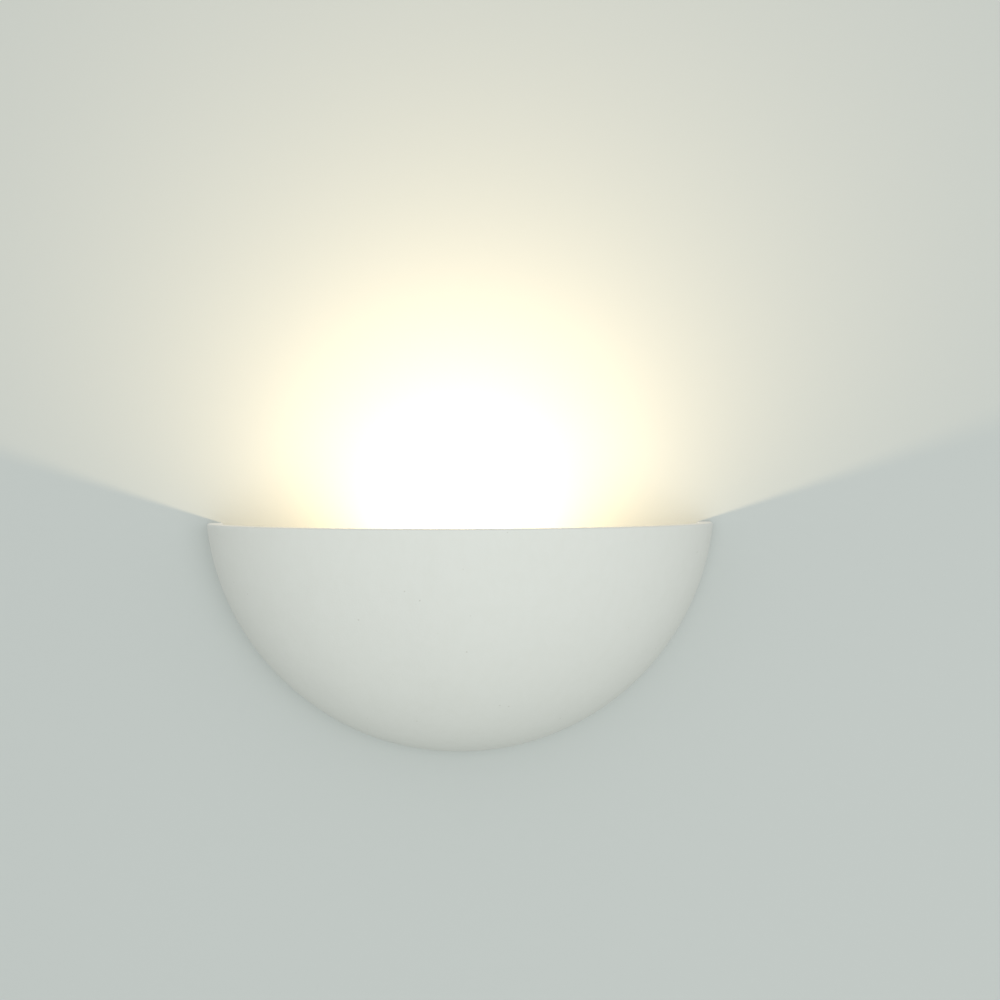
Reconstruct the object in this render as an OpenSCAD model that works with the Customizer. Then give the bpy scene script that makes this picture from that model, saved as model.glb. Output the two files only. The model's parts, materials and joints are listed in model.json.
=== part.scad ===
// Half-bowl uplighter for a wall. A cast shade, open at its top and its back, slides onto
// two studs of a steel wall plate. A small screw-cap lamp lies level inside it.
// Millimetres. Seen from the front, X runs right, Y into the wall and Z up. Y = 0 is the
// wall, and the origin lies midway between the two wall fixings.

/* [Shade] */
// Width of the shade at its rim
shade_w = 310; // [290:1:350]
// Height of the shade, rim to lowest point
shade_h = 140; // [130:1:150]
// Depth of the shade from the wall at its rim
shade_d = 115; // [108:1:140]
// Thickness of the cast wall
shade_wall = 9; // [7:0.5:11]
// Height of the rim above the wall fixings
rim_z = 75; // [72:1:82]
// Chamfer on both edges of the rim
rim_edge = 1.2; // [0.6:0.1:2.4]
// Height of each cast ledge inside the shade
ledge_h = 12; // [9:0.5:15]
// How far each ledge reaches out from the wall
ledge_d = 30; // [26:1:34]
// Width of the slot in each ledge
slot_w = 6; // [5:0.5:7]

/* [Wall plate] */
// Sheet thickness of the wall plate and the lamp bracket
sheet = 1.5; // [1.2:0.1:2]
// Width of the plate between its ears
plate_w = 160; // [156:1:170]
// Top edge of the plate above the wall fixings
plate_top = 50; // [48:1:54]
// Bottom edge of the plate below the wall fixings
plate_low = 18; // [16:1:22]
// Distance between the two wall fixings
fixing_gap = 120; // [110:1:124]
// Width of each fixing slot
fixing_w = 5; // [4.5:0.5:6]
// Length of each fixing slot, end to end
fixing_l = 10; // [8:1:14]
// Height of the shelves that carry the shade, above the wall fixings
shelf_z = 20; // [18:1:22]
// Depth of each shelf from the wall
shelf_d = 26; // [24:1:30]
// How far the raised pad round the cable entry stands off the wall
pad_rise = 2.5; // [2:0.5:4]

/* [Studs and thumb nuts] */
// Thread diameter of the studs
stud_d = 3.9; // [3.5:0.1:4.5]
// Distance of each stud from the wall
stud_out = 14; // [12:0.5:15]
// Distance of each stud from the shade's inner face
stud_in = 19.5; // [18:0.5:22]
// Diameter of the washers under the nuts
washer_d = 12; // [11:0.5:14]
// Thickness of the washers under the nuts
washer_t = 1; // [0.8:0.1:1.6]
// Diameter of the knurled nuts
nut_d = 16; // [14:0.5:18]
// Height of the knurled nuts
nut_h = 9.5; // [8:0.5:11]
// Thickness of the knurled part of the nuts
knurl_h = 5; // [4:0.5:6]

/* [Lamp] */
// Diameter of the bulb
bulb_d = 45; // [42:0.5:47]
// Length of the bulb with its cap
bulb_l = 78; // [75:0.5:80]
// Thickness of the bulb's glass
glass_t = 0.8; // [0.6:0.1:1.2]
// Diameter of the screw cap
cap_d = 13.8; // [13.4:0.1:14]
// Drop from the rim to the bulb's axis
lamp_drop = 45; // [43:0.5:47]
// Distance of the bulb's axis from the wall
lamp_out = 50; // [47:0.5:54]

/* [Lampholder] */
// Outer diameter of the lampholder
holder_d = 27; // [26:0.5:29]
// Depth of the rear cover of the lampholder
cover_l = 18; // [17:0.5:20]
// Wall of the rear cover
cover_wall = 2; // [1.6:0.1:2.4]
// Outer diameter of the threaded tube
nipple_d = 10; // [9.6:0.1:10.4]
// Bore of the threaded tube
nipple_bore = 7; // [6.5:0.1:7.4]
// Width across the flats of the tube's nut
nipple_nut_w = 14; // [13:0.5:16]
// Width of the lamp bracket
bracket_w = 26; // [22:1:28]
// Length of the bracket's foot on the plate
foot_l = 24; // [22:1:26]

/* [Terminal block] */
// Distance between two poles of the terminal block
pole_gap = 12; // [11.5:0.5:13]
// Length of each pole along its wires
pole_l = 18; // [17:0.5:20]
// Bore of the clamps that take the wires
clamp_bore = 3; // [2.8:0.1:3.2]
// Diameter of the block's clamp screws
clamp_screw_d = 2.8; // [2.5:0.1:3]

/* [Cable entry and wires] */
// Bore of the rubber grommet for the supply cable
cable_bore = 8; // [7:0.5:9]
// Diameter of the grommet's flanges
grommet_d = 19; // [17:0.5:21]
// Diameter over a wire's insulation
wire_d = 2.2; // [1.8:0.1:2.4]
// Diameter of a wire's bare end
core_d = 1.2; // [1:0.1:1.4]

/* [Hidden] */
$fn = 96;

fit = 0.05;        // radial clearance of a pin in its hole
loose = 0.25;      // radial clearance of a washer on its stud
past = 1;          // how far a cut runs past a face
bend = 1.5;        // inside radius of the folded sheet

// The bowl is a quarter of a flattened ball, whose middle lies on the wall above the rim.
bowl_r = (pow(shade_w / 2, 2) + pow(shade_h, 2)) / (2 * shade_h);
bowl_y = shade_d * bowl_r / (shade_w / 2);
bowl_z = rim_z + bowl_r - shade_h;
inner_r = bowl_r - shade_wall;
inner_y = bowl_y - shade_wall;
function inner_x(y, z) =
  inner_r * sqrt(max(0, 1 - pow(y / inner_y, 2) - pow((z - bowl_z) / inner_r, 2)));

// Studs, shelves and ledges
stud_x = inner_x(0, shelf_z) - stud_in;
stud_head_d = 7;
stud_head_h = 1.2;
stud_spare = 3.5;  // thread left above the nut
shelf_half = 9;    // half the width of a shelf
ledge_gap = 1;     // from the back of a ledge to the wall
ledge_half = 11;   // from a stud to the inner end of its ledge
ledge_corner = 8;
ledge_top = shelf_z + ledge_h;
washer_top = ledge_top + washer_t;
ear_band = 13;     // height of an ear where it meets its shelf
ear_root = 26;     // height of an ear where it meets the plate
ear_clear = 2;     // from an ear to the shade's inner face
plate_corner = 6;

// The lamp's axis starts at the tip of the bulb's contact and runs along +X.
tip_x = bulb_d / 2 - bulb_l;
lamp_z = rim_z - lamp_drop;
globe_u = bulb_l - bulb_d / 2;
pip_h = 2;
insulator_h = 2.4;
thread_from = pip_h + insulator_h;
thread_to = 20.5;
skirt_d = cap_d + 3.2;
skirt_to = 27.5;
skirt_l = 5;
cap_t = 0.35;
cap_foot = 1.8;    // how far the cap draws in at its insulator
cap_slope = 1.2;
neck_r = skirt_d / 2 - cap_t - 0.1;
neck_u = 23;
neck_round = 10;   // hollow round between globe and neck

// Lampholder, along the same axis
floor_u = -1.5;    // front of the insulating floor
floor_t = 3;
mouth_u = 29.5;
mouth_r = skirt_d / 2 + 0.7;
sleeve_t = 0.4;
sleeve_r = cap_d / 2 + 0.15;
sleeve_from = 2;
sleeve_to = thread_to - 1.2;
cover_u = floor_u - cover_l;
cover_floor = 3;
arm_x = tip_x + cover_u;
foot_screw_x = 10;   // from the end of the bracket's foot to its screws
foot_screw_side = 5; // from the edges of the foot to its screws
terminal_side = 6; // terminals stand this far either side of the axis
terminal_w = 5;
terminal_l = 5;
terminal_pin = 2;
nipple_in = 1;     // thread of the tube inside the cover
nipple_washer_t = 1;
nipple_nut_h = 3;
nipple_end = cover_u - sheet - nipple_washer_t - nipple_nut_h - 2.5;
nipple_start = cover_u + cover_floor + nipple_in;

// Terminal block
block_x = 42;
block_z = 34;
pole_r = 3.5;
pole_y = 7.5;      // from the back of the block to the middle of a clamp
chimney_r = 3;
chimney_h = 15;
chimney_side = 4.5;
web_t = 3;
post_h = 8;
block_screw_d = 3;
block_screw_head = 4.4;
post_r = block_screw_d / 2 + 1.6;
block_front = sheet;

// Earth point
earth_x = plate_w / 2 - 8;
earth_z = 34;
earth_stud_l = 12;
earth_washer_t = 0.8;
earth_nut_h = 3.2;
earth_nut_w = 7;
lug_t = 0.8;
lug_r = stud_d + 0.4;
lug_tongue = 3.2;
barrel_r = wire_d / 2 + 0.7;
barrel_z = 7.5;    // from the middle of the lug's eye to its barrel
barrel_l = 5;
barrel_floor = 1;

// Cable entry
pad_r = 13;
grommet_lip = 1.6;
grommet_wall = 3;

// Wires: routes from the terminal block to the lampholder and the earth point
block_top = block_z + pole_l / 2;
core_in = 7;       // bare wire inside a clamp
strip_gap = 0.4;   // bare wire that shows behind a terminal
lamp_y = -lamp_out;
earth_y = -(sheet + barrel_r);
earth_top = earth_z + barrel_z + barrel_l + 0.2;
pole_depth = -(block_front + pole_y);
entry_x = tip_x + nipple_end;
end_x = tip_x + floor_u - floor_t - terminal_l - strip_gap;
route_live = [
  [block_x - pole_gap, pole_depth, block_top], [block_x - pole_gap, pole_depth, block_top + 2],
  [block_x - pole_gap, pole_depth, block_top + 4], [block_x - pole_gap - 2, pole_depth, block_top + 9],
  [20, -9, 55], [8, -8, 57], [-10, -8, 57], [-30, -8, 57], [-50, -8, 56], [-68, -9, 54],
  [-83, -14, 50], [-92, -24, 44], [-96, -36, 37], [-94, -46, 32],
  [entry_x - 4, lamp_y - 1, lamp_z + 1.5], [entry_x, lamp_y - 1.4, lamp_z + 1.3],
  [entry_x + 8, lamp_y - 1.4, lamp_z + 1.3], [tip_x + nipple_start, lamp_y - 1.8, lamp_z + 1.1],
  [end_x - 2.6, lamp_y - 4.6, lamp_z + 0.5], [end_x - 1, lamp_y - terminal_side, lamp_z],
  [end_x - 0.5, lamp_y - terminal_side, lamp_z], [end_x, lamp_y - terminal_side, lamp_z]
];
route_neutral = [
  [block_x, pole_depth, block_top], [block_x, pole_depth, block_top + 2],
  [block_x, pole_depth, block_top + 4], [block_x - 2, pole_depth, block_top + 7],
  [34, -8, 53.5], [22, -6, 52.5], [8, -5, 53], [-10, -5, 53], [-30, -5, 53], [-50, -5, 52],
  [-66, -6, 50], [-80, -11, 46], [-89, -21, 41], [-93, -33, 34], [-91, -43, 29],
  [entry_x - 4, lamp_y + 1, lamp_z - 1.5], [entry_x, lamp_y + 1.4, lamp_z - 1.3],
  [entry_x + 8, lamp_y + 1.4, lamp_z - 1.3], [tip_x + nipple_start, lamp_y + 1.8, lamp_z - 1.1],
  [end_x - 2.6, lamp_y + 4.6, lamp_z - 0.5], [end_x - 1, lamp_y + terminal_side, lamp_z],
  [end_x - 0.5, lamp_y + terminal_side, lamp_z], [end_x, lamp_y + terminal_side, lamp_z]
];
route_earth = [
  [block_x + pole_gap, pole_depth, block_top], [block_x + pole_gap, pole_depth, block_top + 2],
  [block_x + pole_gap, pole_depth, block_top + 4], [55, -8.5, 51], [58, -7.5, 54], [63, -6, 56],
  [earth_x - 4, -4.8, 56], [earth_x - 0.8, -3.8, 53.5], [earth_x, earth_y, earth_top + 4],
  [earth_x, earth_y, earth_top + 2], [earth_x, earth_y, earth_top]
];

// ---- Helpers ----

module both_sides() {
  children();
  mirror([1, 0, 0]) children();
}

// Draws upwards pieces so that they stand out of the wall at x, z.
module on_wall(x, z, out = 0) {
  translate([x, -out, z]) rotate([90, 0, 0]) children();
}

// Draws upwards pieces along the lamp's axis.
module on_lamp() {
  translate([tip_x, -lamp_out, lamp_z]) rotate([0, 90, 0]) children();
}

module ring(r_out, r_in, h) {
  difference() {
    cylinder(r = r_out, h = h);
    translate([0, 0, -past]) cylinder(r = r_in, h = h + 2 * past);
  }
}

module half_ball(r, depth) {
  intersection() {
    scale([1, depth / r]) circle(r = r);
    translate([0, -depth]) square([r, depth]);
  }
}

module tooth_washer(r_out, r_in, t, teeth) {
  gap = 0.5;
  difference() {
    ring(r_out, r_in, t);
    for (i = [0 : teeth - 1]) rotate(i * 360 / teeth)
      translate([(r_in + r_out) / 2, -gap / 2, -past]) cube([r_out, gap, t + 2 * past]);
  }
}

module hex_nut(width, bore_r, h) {
  flat = width / cos(30) / 2;
  difference() {
    intersection() {
      cylinder(r = flat, h = h, $fn = 6);
      cylinder(r1 = flat + h - 0.6, r2 = flat - 0.6, h = h);
    }
    translate([0, 0, -past]) cylinder(r = bore_r, h = h + 2 * past);
  }
}

// A pan-head screw, its head upwards from z = 0 and its shank below.
module pan_screw(d, head_d, head_h, shank) {
  cross = head_d * 0.55;
  slit = 0.8;
  difference() {
    union() {
      rotate_extrude() polygon([
        [0, 0], [head_d / 2, 0], [head_d / 2, head_h * 0.45],
        [head_d / 2 - head_h * 0.35, head_h * 0.85], [head_d / 3, head_h], [0, head_h]
      ]);
      translate([0, 0, -shank]) cylinder(d = d, h = shank + head_h / 2);
    }
    for (turn = [0, 90]) rotate(turn)
      translate([-cross / 2, -slit / 2, head_h * 0.4]) cube([cross, slit, head_h]);
  }
}

function unit(v) = v / norm(v);
function curve_point(a, b, c, d, t) = 0.5 * (
  2 * b + (c - a) * t + (2 * a - 5 * b + 4 * c - d) * t * t + (3 * b - a - 3 * c + d) * t * t * t);
function curve(p, steps) = concat(
  [for (i = [0 : len(p) - 2], k = [0 : steps - 1])
    curve_point(p[max(i - 1, 0)], p[i], p[i + 1], p[min(i + 2, len(p) - 1)], k / steps)],
  [p[len(p) - 1]]);
function heading(p, i) = unit(p[min(i + 1, len(p) - 1)] - p[max(i - 1, 0)]);
function square_to(n, t) = unit(n - (n * t) * t);
function side_vectors(p) = [
  for (i = 0, n = square_to([0.3, 1, 0.2], heading(p, 0)); i < len(p);
       i = i + 1, n = i < len(p) ? square_to(n, heading(p, i)) : n) n];

// A round tube along a smooth curve through the points of a route.
module tube(route, d) {
  sides = 8;
  p = curve(route, 3);
  n = side_vectors(p);
  rings = [
    for (i = [0 : len(p) - 1], s = [0 : sides - 1])
      let (a = s * 360 / sides, t = heading(p, i))
        p[i] + d / 2 * (cos(a) * n[i] + sin(a) * cross(t, n[i]))];
  last = (len(p) - 1) * sides;
  polyhedron(rings, concat(
    [for (i = [0 : len(p) - 2], s = [0 : sides - 1])
      let (a = i * sides + s, b = i * sides + (s + 1) % sides) [a, a + sides, b]],
    [for (i = [0 : len(p) - 2], s = [0 : sides - 1])
      let (a = i * sides + s, b = i * sides + (s + 1) % sides) [b, a + sides, b + sides]],
    [[for (s = [0 : sides - 1]) s]],
    [[for (s = [0 : sides - 1]) last + sides - 1 - s]]), convexity = 6);
}

// ---- Shade ----

module rim_cut() {
  high = rim_edge + past;
  wide = shade_w / 2;
  inner_w = inner_x(0, rim_z);
  difference() {
    translate([-shade_w, -shade_w, rim_z - rim_edge]) cube([2 * shade_w, 2 * shade_w, high]);
    translate([0, 0, rim_z - rim_edge]) scale([1, shade_d / wide, 1])
      cylinder(r1 = wide, r2 = wide - high, h = high);
  }
  translate([0, 0, rim_z - rim_edge]) scale([1, inner_y / inner_r, 1])
    cylinder(r1 = inner_w, r2 = inner_w + high, h = high);
}

module ledge() {
  mid = shade_wall / 2;
  start = stud_x - ledge_half;
  intersection() {
    translate([0, 0, shelf_z]) linear_extrude(ledge_h) polygon([
      [start, -ledge_gap], [start, ledge_corner - ledge_d], [start + ledge_corner, -ledge_d],
      [shade_w, -ledge_d], [shade_w, -ledge_gap]
    ]);
    translate([0, 0, bowl_z]) rotate([-90, 0, 0])
      rotate_extrude() half_ball(bowl_r - mid, bowl_y - mid);
  }
}

module ledge_slot() {
  translate([stud_x, -stud_out, shelf_z - past]) {
    cylinder(d = slot_w, h = ledge_h + 2 * past);
    translate([-slot_w / 2, 0, 0]) cube([slot_w, stud_out + past, ledge_h + 2 * past]);
  }
}

module plaster_shade() {
  color([0.84, 0.85, 0.81]) difference() {
    union() {
      translate([0, 0, bowl_z]) rotate([-90, 0, 0]) rotate_extrude() difference() {
        half_ball(bowl_r, bowl_y);
        half_ball(inner_r, inner_y);
      }
      both_sides() ledge();
    }
    both_sides() ledge_slot();
    translate([-shade_w, -shade_w, rim_z]) cube([2 * shade_w, 2 * shade_w, 2 * bowl_r]);
    rim_cut();
  }
}

// ---- Wall plate and what hangs the shade ----

module plate_outline() {
  half = plate_w / 2;
  low_half = min(half, inner_x(0, -plate_low) - 3 * ear_clear);
  c = plate_corner;
  polygon([
    [c - low_half, -plate_low], [low_half - c, -plate_low], [low_half, c - plate_low],
    [half, shelf_z - ear_root], [half, plate_top - c], [half - c, plate_top],
    [c - half, plate_top], [-half, plate_top - c], [-half, shelf_z - ear_root],
    [-low_half, c - plate_low]
  ]);
}

module ear_outline() {
  start = stud_x - shelf_half;
  end = min(stud_x + shelf_half, inner_x(0, shelf_z - ear_band) - ear_clear);
  relief = shelf_z - 2 * bend - sheet;
  polygon([
    [plate_w / 2 - past, shelf_z - ear_root], [plate_w / 2, shelf_z - ear_root],
    [start, shelf_z - ear_band], [end, shelf_z - ear_band],
    [end, shelf_z - bend - sheet], [start, shelf_z - bend - sheet], [start, relief],
    [plate_w / 2 - past, relief]
  ]);
}

// The top of an ear, folded forwards to carry a ledge of the shade.
module shelf() {
  fold = bend + sheet;
  translate([stud_x - shelf_half, 0, 0]) rotate([90, 0, 90]) linear_extrude(2 * shelf_half) {
    translate([-fold, shelf_z - fold]) intersection() {
      difference() {
        circle(r = fold);
        circle(r = bend);
      }
      square(fold);
    }
    translate([-shelf_d, shelf_z - sheet]) square([shelf_d - fold, sheet]);
  }
}

module wall_plate() {
  hole_r = stud_d / 2 + fit;
  color([0.78, 0.79, 0.8]) difference() {
    union() {
      on_wall(0, 0) linear_extrude(sheet) plate_outline();
      both_sides() on_wall(0, 0) linear_extrude(sheet) ear_outline();
      both_sides() shelf();
      on_wall(0, 0) cylinder(r1 = pad_r + pad_rise + sheet, r2 = pad_r, h = pad_rise + sheet);
    }
    on_wall(0, 0, -past) cylinder(r1 = pad_r + pad_rise + past, r2 = pad_r - 0.6, h = pad_rise + past);
    on_wall(0, 0) cylinder(r = cable_bore / 2 + grommet_wall + fit, h = 2 * (pad_rise + sheet));
    both_sides() on_wall(fixing_gap / 2, 0, -past) {
      for (s = [-1, 1]) translate([s * (fixing_l - fixing_w) / 2, 0, 0])
        cylinder(d = fixing_w, h = sheet + 2 * past);
      translate([(fixing_w - fixing_l) / 2, -fixing_w / 2, 0])
        cube([fixing_l - fixing_w, fixing_w, sheet + 2 * past]);
    }
    both_sides() translate([stud_x, -stud_out, shelf_z - sheet - past])
      cylinder(r = hole_r, h = sheet + 2 * past);
    bracket_screw_places() translate([0, 0, -2 * sheet - past])
      cylinder(r = hole_r, h = 2 * sheet + 2 * past);
    block_screw_places() translate([0, 0, -post_h - sheet - past])
      cylinder(r = block_screw_d / 2 + fit, h = sheet + 2 * past);
    on_wall(earth_x, earth_z, -past) {
      cylinder(r = hole_r, h = sheet + 2 * past);
      cylinder(r = stud_head_d / 2 + fit, h = past + sheet / 2);
    }
  }
}

module shade_studs() {
  head_z = shelf_z - sheet - stud_head_h;
  color([0.72, 0.7, 0.62]) both_sides() translate([stud_x, -stud_out, head_z]) {
    cylinder(d = stud_head_d, h = stud_head_h);
    cylinder(d = stud_d, h = washer_top + nut_h + stud_spare - head_z);
  }
}

module nut_washer(side) {
  color([0.8, 0.8, 0.8]) translate([side * stud_x, -stud_out, ledge_top])
    ring(washer_d / 2, stud_d / 2 + loose, washer_t);
}
module nut_washer_left() nut_washer(-1);
module nut_washer_right() nut_washer(1);

// Straight knurling: a ring of small teeth, between two plain bevelled lands.
module knurled_head() {
  ridges = 30;
  depth = 0.5;
  edge = 0.7;
  land = nut_d / 2 - depth - 0.1;
  translate([0, 0, edge]) linear_extrude(knurl_h - 2 * edge)
    polygon([for (i = [0 : 2 * ridges - 1])
      let (r = nut_d / 2 - depth * (i % 2), a = i * 180 / ridges) [r * cos(a), r * sin(a)]]);
  cylinder(r1 = land - edge, r2 = land, h = edge);
  translate([0, 0, knurl_h - edge]) cylinder(r1 = land, r2 = land - edge, h = edge);
}

module thumb_nut(side) {
  color([0.83, 0.74, 0.48]) translate([side * stud_x, -stud_out, washer_top]) difference() {
    union() {
      cylinder(d = nut_d / 2, h = nut_h);
      translate([0, 0, nut_h - knurl_h]) knurled_head();
    }
    translate([0, 0, -past]) cylinder(r = stud_d / 2 + fit, h = nut_h + 2 * past);
  }
}
module thumb_nut_left() thumb_nut(-1);
module thumb_nut_right() thumb_nut(1);

// ---- Cable entry ----

module cable_grommet() {
  bore = cable_bore / 2;
  groove = bore + grommet_wall;
  lip = grommet_d / 2;
  soft = 0.6;
  color([0.16, 0.16, 0.16]) on_wall(0, 0, pad_rise - grommet_lip) rotate_extrude() polygon([
    [bore, 0], [lip - soft, 0], [lip, soft], [lip, grommet_lip], [groove, grommet_lip],
    [groove, grommet_lip + sheet], [lip, grommet_lip + sheet],
    [lip, 2 * grommet_lip + sheet - soft], [lip - soft, 2 * grommet_lip + sheet],
    [bore, 2 * grommet_lip + sheet]
  ]);
}

// ---- Lamp bracket ----

module bracket_screw_places() {
  for (s = [-1, 1])
    on_wall(arm_x + foot_l - foot_screw_x, lamp_z + s * (bracket_w / 2 - foot_screw_side), 2 * sheet)
      children();
}

module lamp_bracket() {
  half = bracket_w / 2;
  fold = bend + sheet;
  color([0.78, 0.79, 0.8]) difference() {
    union() {
      // foot, fold and arm, seen from above
      translate([arm_x - sheet, -sheet, lamp_z - half]) linear_extrude(bracket_w) {
        translate([fold, -sheet]) square([foot_l - fold, sheet]);
        translate([0, sheet - lamp_out]) square([sheet, lamp_out - sheet - fold]);
        translate([fold, -fold]) intersection() {
          difference() {
            circle(r = fold);
            circle(r = bend);
          }
          translate([-fold, 0]) square(fold);
        }
      }
      translate([arm_x - sheet, -lamp_out, lamp_z]) rotate([0, 90, 0])
        cylinder(r = half, h = sheet);
    }
    translate([arm_x - sheet - past, -lamp_out, lamp_z]) rotate([0, 90, 0])
      cylinder(r = nipple_d / 2 + 2 * fit, h = sheet + 2 * past);
    bracket_screw_places() translate([0, 0, -sheet - past])
      cylinder(r = stud_d / 2 + fit, h = sheet + 2 * past);
  }
}

module bracket_screws() {
  color([0.72, 0.7, 0.62]) bracket_screw_places() pan_screw(stud_d, 7.6, 2.6, 2 * sheet - 0.2);
}

// ---- Lampholder ----

module holder_body() {
  r = holder_d / 2;
  spigot = r - cover_wall - fit;
  seat = sleeve_r + sleeve_t + fit;
  edge = 1;
  color([0.93, 0.92, 0.88]) on_lamp() difference() {
    rotate_extrude() polygon([
      [0, floor_u - floor_t], [spigot, floor_u - floor_t], [spigot, floor_u], [r, floor_u],
      [r, mouth_u - edge], [r - edge, mouth_u], [mouth_r, mouth_u], [mouth_r, sleeve_to],
      [seat, sleeve_to], [seat, floor_u], [0, floor_u]
    ]);
    for (s = [-1, 1]) translate([0, s * terminal_side, floor_u - floor_t - past])
      cylinder(d = terminal_pin + 2 * fit, h = floor_t + 2 * past);
  }
}

module holder_cover() {
  r = holder_d / 2;
  edge = 1.5;
  color([0.93, 0.92, 0.88]) on_lamp() rotate_extrude() polygon([
    [nipple_d / 2 + fit, cover_u], [r - edge, cover_u], [r, cover_u + edge], [r, floor_u],
    [r - cover_wall, floor_u], [r - cover_wall, cover_u + cover_floor],
    [nipple_d / 2 + fit, cover_u + cover_floor]
  ]);
}

// The brass sleeve that takes the bulb's cap, with a tail to its terminal.
module holder_sleeve() {
  tail = 3;
  color([0.85, 0.72, 0.42]) on_lamp() {
    translate([0, 0, sleeve_from]) ring(sleeve_r + sleeve_t, sleeve_r, sleeve_to - sleeve_from);
    intersection() {
      translate([0, 0, floor_u]) ring(sleeve_r + sleeve_t, sleeve_r, sleeve_from - floor_u + 0.5);
      translate([-tail / 2, 0, floor_u]) cube([tail, sleeve_r + 2 * sleeve_t, 2 * sleeve_to]);
    }
    translate([-tail / 2, terminal_side - tail / 2, floor_u])
      cube([tail, sleeve_r - terminal_side + tail / 2 + 0.1, sleeve_t]);
  }
}

// The bent tongue that meets the bulb's centre contact.
module holder_contact() {
  wide = 4;
  t = 0.4;
  rise = -floor_u - t;
  color([0.85, 0.72, 0.42]) on_lamp() translate([wide / 2, 0, floor_u]) rotate([90, 0, -90])
    linear_extrude(wide) polygon([
      [terminal_side + 1.2, 0], [terminal_side + 1.2, t], [3.2, t], [1.2, rise + t],
      [-2, rise + t], [-2.8, rise], [-2.4, rise - 0.3], [-1.8, rise], [1, rise], [3, 0]
    ]);
}

module holder_terminals() {
  back = floor_u - floor_t - terminal_l;
  color([0.85, 0.72, 0.42]) on_lamp() for (s = [-1, 1]) translate([0, s * terminal_side, 0])
    difference() {
      union() {
        translate([-terminal_w / 2, -terminal_w / 2, back]) cube([terminal_w, terminal_w, terminal_l]);
        translate([0, 0, floor_u - floor_t]) cylinder(d = terminal_pin, h = floor_t);
      }
      translate([0, 0, back - past]) cylinder(r = core_d / 2 + 0.3, h = terminal_l - 1 + past);
      translate([0, 0, back + terminal_l / 2]) rotate([0, -90, 0])
        cylinder(r = clamp_screw_d / 2 + fit, h = terminal_w);
    }
}

module holder_terminal_screws() {
  back = floor_u - floor_t - terminal_l;
  reach = core_d / 2 + fit;
  head = 1.4;
  color([0.75, 0.75, 0.72]) on_lamp() for (s = [-1, 1])
    translate([0, s * terminal_side, back + terminal_l / 2]) rotate([0, -90, 0]) difference() {
      union() {
        translate([0, 0, reach]) cylinder(d = clamp_screw_d, h = terminal_w / 2 - reach);
        translate([0, 0, terminal_w / 2]) cylinder(d = clamp_screw_d + 1.2, h = head);
      }
      translate([-clamp_screw_d, -0.3, terminal_w / 2 + head / 2])
        cube([2 * clamp_screw_d, 0.6, head]);
    }
}

module holder_nipple() {
  edge = 0.5;
  r = nipple_d / 2;
  color([0.85, 0.72, 0.42]) on_lamp() rotate_extrude() polygon([
    [nipple_bore / 2, nipple_end], [r - edge, nipple_end], [r, nipple_end + edge],
    [r, nipple_start - edge], [r - edge, nipple_start], [nipple_bore / 2, nipple_start]
  ]);
}

module nipple_washer() {
  color([0.75, 0.75, 0.75]) on_lamp()
    translate([0, 0, cover_u - sheet - nipple_washer_t])
      tooth_washer(nipple_nut_w / 2 + 1, nipple_d / 2 + 2 * fit, nipple_washer_t, 16);
}

module nipple_nut() {
  color([0.85, 0.72, 0.42]) on_lamp()
    translate([0, 0, cover_u - sheet - nipple_washer_t]) mirror([0, 0, 1])
      hex_nut(nipple_nut_w, nipple_d / 2 + fit, nipple_nut_h);
}

// ---- Bulb ----

// Half of the bulb's outline from its top to the end of its neck, drawn in by g.
function arc(x, u, r, from, to) = [
  for (i = [0 : 18]) let (a = from + (to - from) * i / 18) [x + r * cos(a), u + r * sin(a)]];
function bulb_outline(g) =
  let (
    r = bulb_d / 2,
    round_x = neck_r + neck_round,
    drop = sqrt(pow(r + neck_round, 2) - pow(round_x, 2)),
    turn = atan2(-drop, round_x)
  ) concat(
    arc(0, globe_u, r - g, 90, turn),
    arc(round_x, globe_u - drop, neck_round + g, turn + 180, 180),
    [[neck_r - g, neck_u]]);

module bulb_glass() {
  outside = bulb_outline(0);
  inside = bulb_outline(glass_t);
  last = len(inside) - 1;
  color([0.98, 0.96, 0.88, 0.6]) on_lamp() rotate_extrude()
    polygon(concat(outside, [for (i = [last : -1 : 0]) inside[i]]));
}

module bulb_cap() {
  r = cap_d / 2;
  s = skirt_d / 2;
  skirt_from = skirt_to - skirt_l;
  color([0.8, 0.8, 0.78]) on_lamp() rotate_extrude() polygon([
    [r - cap_foot, thread_from], [r - cap_slope, thread_from], [r, thread_from + cap_slope],
    [r, thread_to - 1],
    [s, skirt_from], [s, skirt_to], [s - cap_t, skirt_to], [s - cap_t, skirt_from + cap_t / 2],
    [r - cap_t, thread_to - 1 + cap_t / 2], [r - cap_t, thread_from + cap_slope + cap_t / 2],
    [r - cap_slope - cap_t / 2, thread_from + cap_t], [r - cap_foot, thread_from + cap_t]
  ]);
}

module bulb_insulator() {
  r = cap_d / 2;
  color([0.08, 0.07, 0.09]) on_lamp() rotate_extrude() polygon([
    [0, pip_h], [2.6, pip_h], [r - cap_foot, thread_from], [r - cap_foot, thread_from + cap_slope],
    [0, thread_from + cap_slope]
  ]);
}

module bulb_contact() {
  color([0.75, 0.75, 0.76]) on_lamp() rotate_extrude() polygon([
    [0, 0], [1.2, 0], [2, 0.5], [2.4, 1.3], [2.4, pip_h], [0, pip_h]
  ]);
}

// The glass mount that carries the filament's wires.
module bulb_stem() {
  flare = neck_r - glass_t - 0.2;
  top = globe_u - 14;
  color([0.85, 0.88, 0.88, 0.6]) on_lamp() rotate_extrude() polygon([
    [0, neck_u + 2], [1.2, neck_u + 2], [flare - 0.8, neck_u], [flare, neck_u], [3.2, neck_u + 6],
    [2.4, top - 3], [2.8, top - 1], [1.6, top], [0, top]
  ]);
}

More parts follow.
